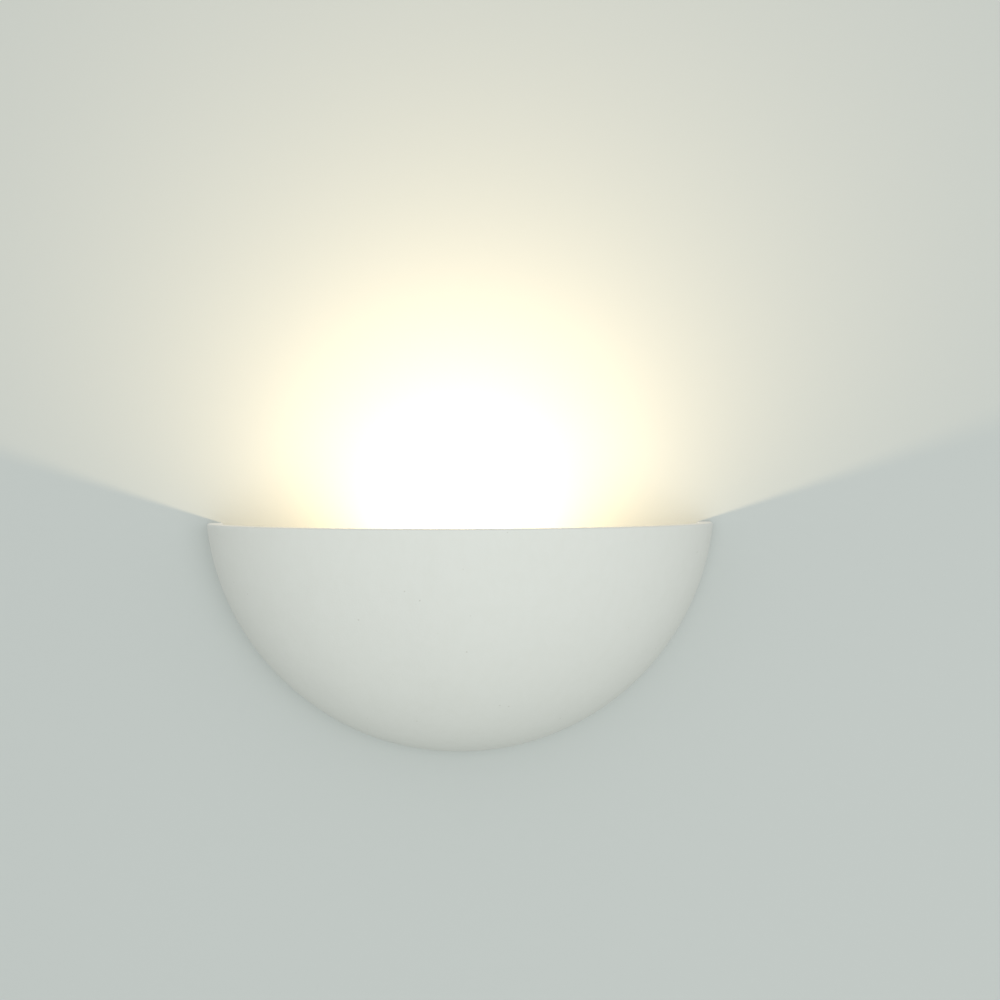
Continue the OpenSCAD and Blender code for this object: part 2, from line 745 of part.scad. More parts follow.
// Two leads, a support and the filament's bow, which end just short of each other.
module bulb_filament() {
  foot = globe_u - 14;
  wire = 0.5;
  bow = 9;
  rise = 11;
  lead_gap = 0.4;
  lean = atan((bow - 1) / rise);
  color([0.4, 0.4, 0.42]) on_lamp() {
    for (s = [-1, 1]) translate([0, s, foot]) rotate([-s * lean, 0, 0])
      cylinder(d = wire, h = norm([bow - 1, rise]) - lead_gap);
    translate([0, 0, foot + rise]) rotate([90, 0, 90]) rotate_extrude(angle = 180)
      translate([bow, 0]) circle(d = wire);
    translate([0, 0, foot]) cylinder(d = wire, h = rise + bow - lead_gap);
  }
}

// ---- Terminal block ----

module pole_places() {
  for (i = [-1 : 1]) on_wall(block_x + i * pole_gap, block_z, block_front) children();
}

module chimney_places() {
  pole_places() for (s = [-1, 1]) translate([0, s * chimney_side, 0]) children();
}

module block_screw_places() {
  for (i = [-1, 1]) on_wall(block_x + i * pole_gap / 2, block_z, block_front + post_h) children();
}

module terminal_block() {
  wide = 2 * pole_gap + 2 * pole_r + 2;
  color([0.92, 0.92, 0.9]) difference() {
    union() {
      on_wall(block_x, block_z, block_front) translate([-wide / 2, -pole_l / 2, 0])
        cube([wide, pole_l, web_t]);
      pole_places() {
        translate([-pole_r, -pole_l / 2, 0]) cube([2 * pole_r, pole_l, pole_y]);
        translate([0, pole_l / 2, pole_y]) rotate([90, 0, 0]) cylinder(r = pole_r, h = pole_l);
      }
      chimney_places() cylinder(r = chimney_r, h = chimney_h);
      block_screw_places() translate([0, 0, -post_h]) cylinder(r = post_r, h = post_h);
    }
    pole_places() translate([0, pole_l / 2 + past, pole_y]) rotate([90, 0, 0])
      cylinder(r = clamp_bore / 2 + 1 + fit, h = pole_l + 2 * past);
    chimney_places() translate([0, 0, pole_y])
      cylinder(r = clamp_screw_d / 2 + 0.4, h = chimney_h);
    block_screw_places() translate([0, 0, -post_h - past])
      cylinder(r = block_screw_d / 2 + fit, h = post_h + 2 * past);
  }
}

module block_clamps() {
  long = pole_l - 4;
  color([0.85, 0.72, 0.42]) difference() {
    pole_places() translate([0, long / 2, pole_y]) rotate([90, 0, 0])
      ring(clamp_bore / 2 + 1, clamp_bore / 2, long);
    chimney_places() translate([0, 0, pole_y]) cylinder(r = clamp_screw_d / 2 + fit, h = chimney_h);
  }
}

module block_clamp_screws() {
  tip = pole_y + core_d / 2 + fit;
  head_z = chimney_h - 1.5;
  color([0.75, 0.75, 0.72]) chimney_places() difference() {
    translate([0, 0, tip]) cylinder(d = clamp_screw_d, h = head_z - tip);
    translate([-clamp_screw_d, -0.3, head_z - 1]) cube([2 * clamp_screw_d, 0.6, 2]);
  }
}

module block_screws() {
  color([0.72, 0.7, 0.62]) block_screw_places()
    pan_screw(block_screw_d, block_screw_head, 1.8, post_h + sheet - 0.2);
}

// ---- Earth point ----

module earth_stud() {
  color([0.72, 0.7, 0.62]) on_wall(earth_x, earth_z) {
    cylinder(d = stud_d, h = earth_stud_l);
    cylinder(d = stud_head_d, h = sheet / 2);
  }
}

module earth_lug() {
  color([0.8, 0.8, 0.8]) on_wall(earth_x, earth_z, sheet) difference() {
    union() {
      cylinder(r = lug_r, h = lug_t);
      translate([-lug_tongue / 2, 0, 0]) cube([lug_tongue, barrel_z + past, lug_t]);
      translate([0, barrel_z, barrel_r]) rotate([-90, 0, 0]) cylinder(r = barrel_r, h = barrel_l);
    }
    translate([0, 0, -past]) cylinder(r = stud_d / 2 + loose, h = 2 * past + lug_t);
    translate([0, barrel_z + barrel_floor, barrel_r]) rotate([-90, 0, 0])
      cylinder(r = core_d / 2 + fit, h = barrel_l);
  }
}

module earth_washer() {
  color([0.75, 0.75, 0.75]) on_wall(earth_x, earth_z, sheet + lug_t)
    tooth_washer(stud_d, stud_d / 2 + loose, earth_washer_t, 10);
}

module earth_nut() {
  color([0.72, 0.7, 0.62]) on_wall(earth_x, earth_z, sheet + lug_t + earth_washer_t)
    hex_nut(earth_nut_w, stud_d / 2 + fit, earth_nut_h);
}

// ---- Wires ----

module wire_live() color([0.42, 0.24, 0.14]) tube(route_live, wire_d);
module wire_neutral() color([0.2, 0.36, 0.62]) tube(route_neutral, wire_d);
module wire_earth() color([0.35, 0.6, 0.25]) tube(route_earth, wire_d);

// Bare copper where each wire enters its clamp, its terminal or its lug.
module wire_ends() {
  color([0.8, 0.5, 0.33]) {
    for (i = [-1 : 1]) translate([block_x + i * pole_gap, pole_depth, block_top - core_in])
      cylinder(d = core_d, h = core_in);
    for (s = [-1, 1]) on_lamp()
      translate([0, s * terminal_side, end_x - tip_x]) cylinder(d = core_d, h = terminal_l - 1);
    translate([earth_x, earth_y, earth_top - barrel_l + barrel_floor])
      cylinder(d = core_d, h = barrel_l - barrel_floor);
  }
}

plaster_shade();
wall_plate();
shade_studs();
nut_washer_left();
nut_washer_right();
thumb_nut_left();
thumb_nut_right();
cable_grommet();
lamp_bracket();
bracket_screws();
holder_body();
holder_cover();
holder_sleeve();
holder_contact();
holder_terminals();
holder_terminal_screws();
holder_nipple();
nipple_washer();
nipple_nut();
bulb_glass();
bulb_cap();
bulb_insulator();
bulb_contact();
bulb_stem();
bulb_filament();
terminal_block();
block_clamps();
block_clamp_screws();
block_screws();
earth_stud();
earth_washer();
earth_nut();
earth_lug();
wire_live();
wire_neutral();
wire_earth();
wire_ends();
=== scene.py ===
# Half-bowl plaster uplighter on a wall plate: its finishes, fine pieces, stage and camera.
# Metres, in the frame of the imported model: X right, Y into the wall, Z up, wall at Y = 0.
import json
import math

import bmesh
import bpy
from mathutils import Matrix, Vector


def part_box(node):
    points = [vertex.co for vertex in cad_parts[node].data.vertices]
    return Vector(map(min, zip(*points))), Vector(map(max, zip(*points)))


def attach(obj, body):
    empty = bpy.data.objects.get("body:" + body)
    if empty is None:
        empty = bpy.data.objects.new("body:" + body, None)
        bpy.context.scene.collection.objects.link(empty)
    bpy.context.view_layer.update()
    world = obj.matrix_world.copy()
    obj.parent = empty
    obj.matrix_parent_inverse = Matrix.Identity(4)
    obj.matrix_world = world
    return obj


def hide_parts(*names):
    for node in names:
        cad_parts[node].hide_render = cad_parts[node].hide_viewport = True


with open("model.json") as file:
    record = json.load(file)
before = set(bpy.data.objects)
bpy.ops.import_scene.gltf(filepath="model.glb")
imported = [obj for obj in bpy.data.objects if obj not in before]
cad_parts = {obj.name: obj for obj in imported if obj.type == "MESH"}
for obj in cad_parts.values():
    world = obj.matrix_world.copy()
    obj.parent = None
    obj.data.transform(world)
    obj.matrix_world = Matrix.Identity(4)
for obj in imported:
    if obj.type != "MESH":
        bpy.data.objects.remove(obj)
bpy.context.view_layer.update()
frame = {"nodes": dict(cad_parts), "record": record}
scene = bpy.context.scene
bodyOf = {n: b for b, nodes in frame["record"]["behaviour"]["bodies"].items() for n in nodes}
up = Vector((0, 0, 1))
right = Vector((1, 0, 0))
outwards = Vector((0, -1, 0))
weldGap = 1e-6
roundSteps = 96
print("frame loaded:", len(frame["nodes"]), "nodes")


# Places and small helpers

boxes = {node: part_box(node) for node in frame["nodes"]}


def low(node):
    return Vector(boxes[node][0])


def high(node):
    return Vector(boxes[node][1])


def middle(node):
    return (low(node) + high(node)) / 2


def meshOf(bm, name):
    mesh = bpy.data.meshes.new(name)
    bm.to_mesh(mesh)
    bm.free()
    return mesh


def finished(bm, name, sharpAngle=35):
    mesh = meshOf(bm, name)
    mesh.shade_smooth()
    mesh.set_sharp_from_angle(angle=math.radians(sharpAngle))
    return mesh


def addPiece(mesh, node, *materials):
    piece = bpy.data.objects.new(mesh.name, mesh)
    scene.collection.objects.link(piece)
    mesh.materials.clear()
    for material in materials:
        mesh.materials.append(material)
    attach(piece, bodyOf[node])
    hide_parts(node)
    return piece


def crossways(axis):
    first = right if abs(axis.x) < 0.5 else outwards
    return first, axis.cross(first)


def lathe(bm, profile, place, axis, steps):
    # the profile is a list of (radius, distance along the axis from the place)
    side = crossways(axis)[0]
    verts = [bm.verts.new(place + side * r + axis * u) for r, u in profile]
    edges = [bm.edges.new(pair) for pair in zip(verts, verts[1:])]
    bmesh.ops.spin(bm, geom=verts + edges, cent=place, axis=axis, dvec=(0, 0, 0),
                   angle=2 * math.pi, steps=steps, use_merge=True)
    bmesh.ops.remove_doubles(bm, verts=bm.verts, dist=weldGap)
    bmesh.ops.dissolve_degenerate(bm, edges=bm.edges, dist=weldGap / 4)
    bmesh.ops.recalc_face_normals(bm, faces=bm.faces)


def turned(node, profile, place, axis, material, sharpAngle=35):
    bm = bmesh.new()
    lathe(bm, profile, place, axis, roundSteps)
    addPiece(finished(bm, node + "_form", sharpAngle), node, material)


def bend(x, u, radius, start, turn, count):
    # points along an arc about (x, u); start and turn are in degrees
    angles = [math.radians(start + turn * i / count) for i in range(count + 1)]
    return [(x + radius * math.cos(a), u + radius * math.sin(a)) for a in angles]


def rows(start, end, step):
    count = max(1, round((end - start) / step))
    return [start + (end - start) * i / count for i in range(count + 1)]


def around(v, place, axis):
    # distance along the axis, distance from it and turns round it
    reach = v.co - place
    along = reach.dot(axis)
    side, other = crossways(axis)
    away = reach - axis * along
    return along, away, math.atan2(away.dot(other), away.dot(side)) / (2 * math.pi)


def cutThread(bm, place, axis, radius, start, end, pitch, depth, wall=0.0):
    # draws the surface in along a helix, fading out over half a turn at both ends;
    # a rolled thread has a wall, which moves in whole and has rounded turns
    for v in bm.verts:
        along, away, turn = around(v, place, axis)
        if away.length < radius - wall - depth / 4 or not start < along < end:
            continue
        phase = (along / pitch - turn) % 1
        wave = (1 + math.cos(2 * math.pi * phase)) / 2 if wall else abs(2 * phase - 1)
        fade = min(1, (along - start) / (pitch / 2), (end - along) / (pitch / 2))
        v.co -= away.normalized() * depth * wave * fade


def ease(bm, edges, width, segments):
    bmesh.ops.bevel(bm, geom=edges, offset=width, offset_type="OFFSET", segments=segments,
                    profile=0.5, affect="EDGES", clamp_overlap=True, material=-1)


easeForm = {"flat": 0.6, "sharp": 32, "segments": 2}


def softened(node, material, width, form):
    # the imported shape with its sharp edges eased; flat and sharp are angles in degrees
    bm = bmesh.new()
    bm.from_mesh(frame["nodes"][node].data)
    bmesh.ops.remove_doubles(bm, verts=bm.verts, dist=2 * weldGap)
    bmesh.ops.dissolve_limit(bm, angle_limit=math.radians(form["flat"]), verts=bm.verts, edges=bm.edges,
                             use_dissolve_boundaries=False, delimit=set())
    sharp = math.radians(form["sharp"])
    edges = [e for e in bm.edges if len(e.link_faces) == 2 and e.calc_face_angle(0) > sharp]
    ease(bm, edges, width, form["segments"])
    bmesh.ops.triangulate(bm, faces=[f for f in bm.faces if len(f.verts) > 4])
    addPiece(finished(bm, node + "_form"), node, material)


# Materials

class Finish:
    # a material whose colour, gloss and relief are worked out from object coordinates
    def __init__(self, name, color, roughness, metallic=0.0):
        self.material = bpy.data.materials.new(name)
        self.material.use_nodes = True
        self.nodes = self.material.node_tree.nodes
        self.links = self.material.node_tree.links
        self.shader = self.nodes["Principled BSDF"]
        self.shader.inputs["Base Color"].default_value = (*color, 1)
        self.shader.inputs["Roughness"].default_value = roughness
        self.shader.inputs["Metallic"].default_value = metallic
        self.place = self.nodes.new("ShaderNodeTexCoord").outputs["Object"]
        self.normal = None

    def mapped(self, scale):
        node = self.nodes.new("ShaderNodeMapping")
        node.inputs["Scale"].default_value = scale
        self.links.new(self.place, node.inputs["Vector"])
        return node.outputs["Vector"]

    def noise(self, scale, detail, rough=0.55, vector=None):
        node = self.nodes.new("ShaderNodeTexNoise")
        node.inputs["Scale"].default_value = scale
        node.inputs["Detail"].default_value = detail
        node.inputs["Roughness"].default_value = rough
        self.links.new(vector or self.place, node.inputs["Vector"])
        return node.outputs["Fac"]

    def cells(self, scale, socket):
        node = self.nodes.new("ShaderNodeTexVoronoi")
        node.inputs["Scale"].default_value = scale
        self.links.new(self.place, node.inputs["Vector"])
        return node.outputs[socket]

    def ramp(self, fac, *stops):
        node = self.nodes.new("ShaderNodeValToRGB")
        for _ in stops[2:]:
            node.color_ramp.elements.new(0.5)
        for element, (at, color) in zip(node.color_ramp.elements, stops):
            element.position = at
            element.color = (*color, 1)
        self.links.new(fac, node.inputs["Fac"])
        return node.outputs["Color"]

    def span(self, fac, start, end):
        # noise lies mostly between 0.3 and 0.7
        node = self.nodes.new("ShaderNodeMapRange")
        node.inputs["From Min"].default_value = 0.3
        node.inputs["From Max"].default_value = 0.7
        node.inputs["To Min"].default_value = start
        node.inputs["To Max"].default_value = end
        self.links.new(fac, node.inputs["Value"])
        return node.outputs["Result"]

    def times(self, first, second):
        node = self.nodes.new("ShaderNodeMix")
        node.data_type = "RGBA"
        node.blend_type = "MULTIPLY"
        node.inputs[0].default_value = 1.0
        self.links.new(first, node.inputs[6])
        self.links.new(second, node.inputs[7])
        return node.outputs[2]

    def set(self, socket, value):
        if isinstance(value, (int, float)):
            self.shader.inputs[socket].default_value = value
        else:
            self.links.new(value, self.shader.inputs[socket])

    def relief(self, height, distance, strength):
        node = self.nodes.new("ShaderNodeBump")
        node.inputs["Distance"].default_value = distance
        node.inputs["Strength"].default_value = strength
        self.links.new(height, node.inputs["Height"])
        if self.normal:
            self.links.new(self.normal, node.inputs["Normal"])
        self.normal = node.outputs["Normal"]
        self.links.new(self.normal, self.shader.inputs["Normal"])


def scaled(color, by):
    return tuple(min(1.0, c * by) for c in color)


def plaster(name, color, grain, pits, wear):
    tint = Finish(name, color, 0.82)
    cloud = tint.ramp(tint.noise(11, 5, 0.6), (0.28, scaled(color, 1 - wear)), (0.5, color),
                      (0.74, scaled(color, 1 + wear / 2)))
    brushed = tint.ramp(tint.noise(1, 4, 0.6, tint.mapped((170, 170, 90))), (0.25, (0.985, 0.985, 0.98)),
                        (0.6, (1, 1, 1)))
    specks = tint.ramp(tint.cells(pits, "Distance"), (0.0, (0.72, 0.70, 0.66)), (0.055, (1, 1, 1)))
    tint.set("Base Color", tint.times(tint.times(cloud, brushed), specks))
    tint.set("Roughness", tint.span(tint.noise(60, 3), 0.74, 0.9))
    tint.set("Specular IOR Level", 0.3)
    tint.relief(tint.noise(grain, 6, 0.6), 0.0002, 0.5)
    tint.relief(tint.noise(42, 2, 0.4), 0.0008, 0.12)
    return tint.material


def zincSheet():
    tint = Finish("zinc_sheet", (0.62, 0.63, 0.64), 0.42, 1.0)
    flakes = tint.ramp(tint.cells(190, "Color"), (0.0, (0.52, 0.53, 0.55)), (1.0, (0.71, 0.72, 0.72)))
    haze = tint.ramp(tint.noise(30, 4), (0.35, (0.86, 0.86, 0.88)), (0.7, (1.0, 0.99, 0.96)))
    tint.set("Base Color", tint.times(flakes, haze))
    tint.set("Roughness", tint.span(tint.noise(120, 4), 0.34, 0.52))
    tint.relief(tint.noise(1, 3, 0.6, tint.mapped((40, 40, 2200))), 0.00006, 0.4)
    return tint.material


def metal(name, color, roughness, grain=260, marks=None):
    # marks is the number of the axis that fine turning lines run round
    tint = Finish(name, color, roughness, 1.0)
    tint.set("Base Color", tint.ramp(tint.noise(grain / 2, 5, 0.6), (0.28, scaled(color, 0.74)),
                                     (0.55, color), (0.8, scaled(color, 1.12))))
    tint.set("Roughness", tint.span(tint.noise(grain, 4), roughness - 0.07, roughness + 0.11))
    if marks is None:
        tint.relief(tint.noise(3 * grain, 3), 0.00005, 0.5)
    else:
        lines = tuple(5200 if i == marks else 30 for i in range(3))
        tint.relief(tint.noise(1, 2, 0.5, tint.mapped(lines)), 0.00004, 0.35)
    return tint.material


def moulded(name, color, roughness, fine=1500):
    tint = Finish(name, color, roughness)
    tint.set("Base Color", tint.ramp(tint.noise(40, 4), (0.3, scaled(color, 0.9)), (0.7, color)))
    tint.set("Roughness", tint.span(tint.noise(300, 3), roughness - 0.06, roughness + 0.1))
    tint.relief(tint.noise(fine, 3), 0.00006, 0.45)
    return tint.material


def glazed():
    tint = Finish("glazed_ceramic", (0.80, 0.78, 0.70), 0.2)
    cream = tint.ramp(tint.noise(55, 4), (0.3, (0.75, 0.72, 0.63)), (0.7, (0.83, 0.81, 0.735)))
    specks = tint.ramp(tint.cells(420, "Distance"), (0.0, (0.62, 0.54, 0.42)), (0.07, (1, 1, 1)))
    tint.set("Base Color", tint.times(cream, specks))
    tint.set("Roughness", tint.span(tint.noise(180, 3), 0.14, 0.3))
    tint.set("Coat Weight", 0.5)
    tint.set("Coat Roughness", 0.12)
    tint.relief(tint.noise(130, 2), 0.00025, 0.25)
    return tint.material


def opalGlass():
    tint = Finish("opal_glass", (0.80, 0.77, 0.70), 0.3)
    warm = tint.ramp(tint.noise(22, 2), (0.3, (1.0, 0.82, 0.57)), (0.7, (1.0, 0.85, 0.62)))
    tint.set("Emission Color", warm)
    tint.set("Emission Strength", 0.3)
    tint.set("Roughness", tint.span(tint.noise(90, 3), 0.24, 0.36))
    tint.set("Coat Weight", 0.4)
    tint.relief(tint.noise(600, 3), 0.00003, 0.3)
    return tint.material


def clearGlass():
    tint = Finish("clear_glass", (0.9, 0.94, 0.93), 0.05)
    tint.set("Transmission Weight", 0.9)
    tint.set("Roughness", tint.span(tint.noise(120, 3), 0.02, 0.1))
    tint.relief(tint.noise(90, 2), 0.0001, 0.2)
    return tint.material


def earthCover():
    # green, with a yellow stripe that runs along the wire
    tint = Finish("earth_cover", (0.13, 0.36, 0.07), 0.4)
    lie = tint.nodes.new("ShaderNodeUVMap")
    lie.uv_map = "along"
    parts = tint.nodes.new("ShaderNodeSeparateXYZ")
    tint.links.new(lie.outputs["UV"], parts.inputs["Vector"])
    green, yellow = (0.11, 0.33, 0.06), (0.80, 0.68, 0.05)
    stripe = tint.ramp(parts.outputs["Y"], (0.33, green), (0.345, yellow), (0.655, yellow), (0.67, green))
    wear = tint.ramp(tint.noise(120, 4), (0.3, (0.82, 0.82, 0.82)), (0.7, (1, 1, 1)))
    tint.set("Base Color", tint.times(stripe, wear))
    tint.set("Roughness", tint.span(tint.noise(400, 3), 0.34, 0.5))
    tint.relief(tint.noise(900, 3), 0.00005, 0.4)
    return tint.material


print("materials")
facePaint = plaster("painted_plaster", (0.71, 0.73, 0.69), 900, 85, 0.014)
rawPlaster = plaster("raw_plaster", (0.74, 0.74, 0.69), 420, 60, 0.05)
zinc = zincSheet()
steel = metal("screw_steel", (0.60, 0.58, 0.50), 0.34)
brassUp = metal("turned_brass_up", (0.78, 0.61, 0.30), 0.3, 200, 2)
brassSide = metal("turned_brass_side", (0.78, 0.61, 0.30), 0.3, 200, 0)
brassStrip = metal("brass_strip", (0.76, 0.60, 0.31), 0.34)
capMetal = metal("cap_metal", (0.72, 0.71, 0.68), 0.3, 200)
solder = metal("solder_tin", (0.62, 0.62, 0.63), 0.35, 500)
filamentWire = metal("filament_wire", (0.3, 0.3, 0.32), 0.4, 900)
copper = metal("bare_copper", (0.75, 0.37, 0.21), 0.3, 300)
rubber = moulded("black_rubber", (0.045, 0.044, 0.042), 0.68, 1400)
ceramic = glazed()
creamPlastic = moulded("cream_plastic", (0.78, 0.755, 0.67), 0.4)
blockPlastic = moulded("block_plastic", (0.80, 0.80, 0.76), 0.36)
blackGlass = moulded("black_vitrite", (0.03, 0.026, 0.036), 0.14, 300)
brownCover = moulded("brown_cover", (0.20, 0.085, 0.04), 0.42, 900)
blueCover = moulded("blue_cover", (0.04, 0.14, 0.42), 0.42, 900)
opal = opalGlass()
glass = clearGlass()


# Shade

shadeForm = {
    "width": 0.310, "height": 0.140, "depth": 0.115, "wall": 0.009,
    "rimRound": 0.0013, "rimSteps": 6, "backRound": 0.0007, "backSharp": 0.6,
    "turnSteps": 176, "rowSteps": 76, "ballSteps": 128, "insideReach": 0.985, "sharp": 38,
    "ledgeDepth": 0.030, "ledgeGap": 0.001, "ledgeHigh": 0.012, "ledgeHalf": 0.011,
    "ledgeCorner": 0.008, "ledgeEdge": 0.0009, "ledgeSharp": 0.5, "slotWidth": 0.006, "slotSteps": 12,
}


def bowlSizes(form):
    half = form["width"] / 2
    radius = (half ** 2 + form["height"] ** 2) / (2 * form["height"])
    return radius, form["depth"] * radius / half, high("plaster_shade").z + radius - form["height"]


def bowlProfile(form, radius, centre):
    # the wall's section from the outer pole, over the rim, to the inner pole
    edge = form["rimRound"]
    top = high("plaster_shade").z - edge
    count = form["rowSteps"]

    def arc(r):
        last = math.acos((centre - top) / r)
        return [(r * math.sin(last * i / count), centre - r * math.cos(last * i / count))
                for i in range(count + 1)]

    outside, inside = arc(radius), arc(radius - form["wall"])
    over = bend(outside[-1][0] - edge, top, edge, 0, 90, form["rimSteps"])
    under = bend(inside[-1][0] + edge, top, edge, 90, 90, form["rimSteps"])
    return outside + over[1:] + under[:-1] + inside[::-1]


def makeBowl(form):
    radius, depth, centre = bowlSizes(form)
    bm = bmesh.new()
    verts = [bm.verts.new((x, 0, z)) for x, z in bowlProfile(form, radius, centre)]
    edges = [bm.edges.new(pair) for pair in zip(verts, verts[1:])]
    bmesh.ops.spin(bm, geom=verts + edges, cent=(0, 0, 0), axis=up, dvec=(0, 0, 0),
                   angle=-math.pi, steps=form["turnSteps"])
    outerSquash = depth / radius
    innerSquash = (depth - form["wall"]) / (radius - form["wall"])
    for v in bm.verts:  # the front of the wall stays as thick as its sides
        away = (v.co - up * centre).length
        inward = min(1, max(0, (radius - away) / form["wall"]))
        v.co.y *= outerSquash + (innerSquash - outerSquash) * inward
        if abs(v.co.y) < weldGap:
            v.co.y = 0
    bmesh.ops.remove_doubles(bm, verts=bm.verts, dist=weldGap)
    back = bmesh.ops.holes_fill(bm, edges=[e for e in bm.edges if e.is_boundary], sides=0)["faces"]
    bmesh.ops.recalc_face_normals(bm, faces=bm.faces)
    rimmed = {e for f in back for e in f.edges if e.calc_face_angle(0) > form["backSharp"]}
    ease(bm, list(rimmed), form["backRound"], 2)
    bmesh.ops.triangulate(bm, faces=[f for f in bm.faces if len(f.verts) > 4])
    return bm


def makeLedge(form, side):
    # one ledge, with its slot open towards the wall
    stud = middle("thumb_nut_right")
    bottom = low("nut_washer_right").z - form["ledgeHigh"]
    half = form["slotWidth"] / 2
    start, end = stud.x - form["ledgeHalf"], form["width"] / 2
    gap, deep, corner = form["ledgeGap"], form["ledgeDepth"], form["ledgeCorner"]
    plan = [(start, -gap), (start, corner - deep), (start + corner, -deep), (end, -deep), (end, -gap),
            (stud.x + half, -gap)]
    plan += bend(stud.x, stud.y, half, 0, -180, form["slotSteps"])
    plan.append((stud.x - half, -gap))
    bm = bmesh.new()
    face = bm.faces.new([bm.verts.new((side * x, y, bottom)) for x, y in plan])
    made = bmesh.ops.extrude_face_region(bm, geom=[face])["geom"]
    lifted = [g for g in made if isinstance(g, bmesh.types.BMVert)]
    bmesh.ops.translate(bm, vec=(0, 0, form["ledgeHigh"]), verts=lifted)
    bmesh.ops.recalc_face_normals(bm, faces=bm.faces)
    ease(bm, [e for e in bm.edges if e.calc_face_angle(0) > form["ledgeSharp"]], form["ledgeEdge"], 3)
    return bm


def makeBall(radius, depth, centre, steps):
    bm = bmesh.new()
    bmesh.ops.create_uvsphere(bm, u_segments=steps, v_segments=steps // 2, radius=1)
    bmesh.ops.scale(bm, vec=(radius, depth, radius), verts=bm.verts)
    bmesh.ops.translate(bm, vec=up * centre, verts=bm.verts)
    return bm


def loose(bm):
    piece = bpy.data.objects.new("work", meshOf(bm, "work"))
    scene.collection.objects.link(piece)
    return piece


def combine(target, tool, operation):
    # the boolean is applied at once and the tool is taken away
    cut = target.modifiers.new("combine", "BOOLEAN")
    cut.operation = operation
    cut.solver = "EXACT"
    cut.object = tool
    bpy.context.view_layer.update()
    result = target.evaluated_get(bpy.context.evaluated_depsgraph_get())
    made = bpy.data.meshes.new_from_object(result)
    target.modifiers.remove(cut)
    target.data = made
    bpy.data.objects.remove(tool)


def makeShade(form):
    radius, depth, centre = bowlSizes(form)
    mid = form["wall"] / 2
    bowl = loose(makeBowl(form))
    for side in (-1, 1):
        ledge = loose(makeLedge(form, side))
        ball = loose(makeBall(radius - mid, depth - mid, centre, form["ballSteps"]))
        combine(ledge, ball, "INTERSECT")
        combine(bowl, ledge, "UNION")
    bm = bmesh.new()
    bm.from_mesh(bowl.data)
    bpy.data.objects.remove(bowl)
    mesh = finished(bm, "plaster_shade_form", form["sharp"])
    shade = addPiece(mesh, "plaster_shade", facePaint, rawPlaster)
    for polygon in mesh.polygons:  # the inside and the back are left raw
        c = polygon.center
        reach = math.sqrt((c.x / radius) ** 2 + (c.y / depth) ** 2 + ((c.z - centre) / radius) ** 2)
        inside = reach < form["insideReach"] and c.z < high("plaster_shade").z - form["rimRound"]
        polygon.material_index = 1 if inside or c.y > -form["backRound"] / 2 else 0
    return shade


print("shade")
shade = makeShade(shadeForm)


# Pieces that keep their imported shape, with eased edges

eased = {
    "wall_plate": (zinc, 0.00022), "lamp_bracket": (zinc, 0.00022), "nipple_washer": (zinc, 0.00005),
    "earth_washer": (zinc, 0.00005), "earth_lug": (zinc, 0.00008), "bracket_screws": (steel, 0.00008),
    "block_screws": (steel, 0.00008), "block_clamp_screws": (steel, 0.00008),
    "holder_terminal_screws": (steel, 0.00008), "earth_stud": (steel, 0.00008),
    "terminal_block": (blockPlastic, 0.0003), "block_clamps": (brassStrip, 0.00008),
    "nipple_nut": (brassSide, 0.00012), "earth_nut": (brassStrip, 0.0001),
}
print("sheet metal, screws and terminal block")
for node, (material, width) in eased.items():
    softened(node, material, width, easeForm)


# Studs, washers and thumb nuts

studForm = {"radius": 0.00195, "pitch": 0.0007, "depth": 0.00033, "turnRows": 6, "head": 0.0035,
            "headHigh": 0.0012, "plain": 0.003, "edge": 0.0003, "steps": 30, "sharp": 50}


def makeStuds(form):
    bottom = low("shade_studs").z
    long = high("shade_studs").z - bottom
    r, head, headHigh, edge = form["radius"], form["head"], form["headHigh"], form["edge"]
    profile = [(0, 0), (head - edge, 0), (head, edge), (head, headHigh - edge), (head - edge, headHigh)]
    profile += [(r, u) for u in rows(headHigh, long - edge, form["pitch"] / form["turnRows"])]
    profile += [(r - edge, long), (0, long)]
    bm = bmesh.new()
    for node in ("thumb_nut_left", "thumb_nut_right"):
        place = middle(node)
        place.z = bottom
        one = bmesh.new()
        lathe(one, profile, place, up, form["steps"])
        cutThread(one, place, up, r, form["plain"], long - edge / 2, form["pitch"], form["depth"])
        bm.from_mesh(meshOf(one, "work"))
    addPiece(finished(bm, "shade_studs_form", form["sharp"]), "shade_studs", steel)


nutForm = {"bore": 0.002, "outer": 0.008, "collar": 0.004, "collarHigh": 0.0045, "ridges": 30,
           "knurl": 0.0005, "land": 0.0074, "edge": 0.0007, "dish": 0.0004, "dishIn": 2.6, "sharp": 24}


def makeNut(node, form):
    place = middle(node)
    place.z = low(node).z
    bore, outer, collar, land = form["bore"], form["outer"], form["collar"], form["land"]
    edge, step, dishIn = form["edge"], form["collarHigh"], form["dishIn"]
    small = edge / 3
    top = high(node).z - place.z
    start, end, dish = step + edge, top - edge, top - form["dish"]
    profile = [(bore, small), (bore + small, 0), (collar - small, 0), (collar, small), (collar, step - small),
               (collar + small, step), (land - edge, step), (land, start), (outer, start + small),
               (outer, (start + end) / 2), (outer, end - small), (land, end), (land - edge, top),
               (land - 2 * edge, top), (land - dishIn * edge, dish), (bore + dishIn * small, dish),
               (bore, dish - small), (bore, small)]
    bm = bmesh.new()
    lathe(bm, profile, place, up, 4 * form["ridges"])
    for v in bm.verts:
        away, turn = around(v, place, up)[1:]
        if away.length > (outer + land) / 2:
            wave = abs(2 * ((turn * form["ridges"]) % 1) - 1)
            v.co -= away.normalized() * form["knurl"] * wave
    addPiece(finished(bm, node + "_form", form["sharp"]), node, brassUp)


washerForm = {"bore": 0.0022, "edge": 0.00012}


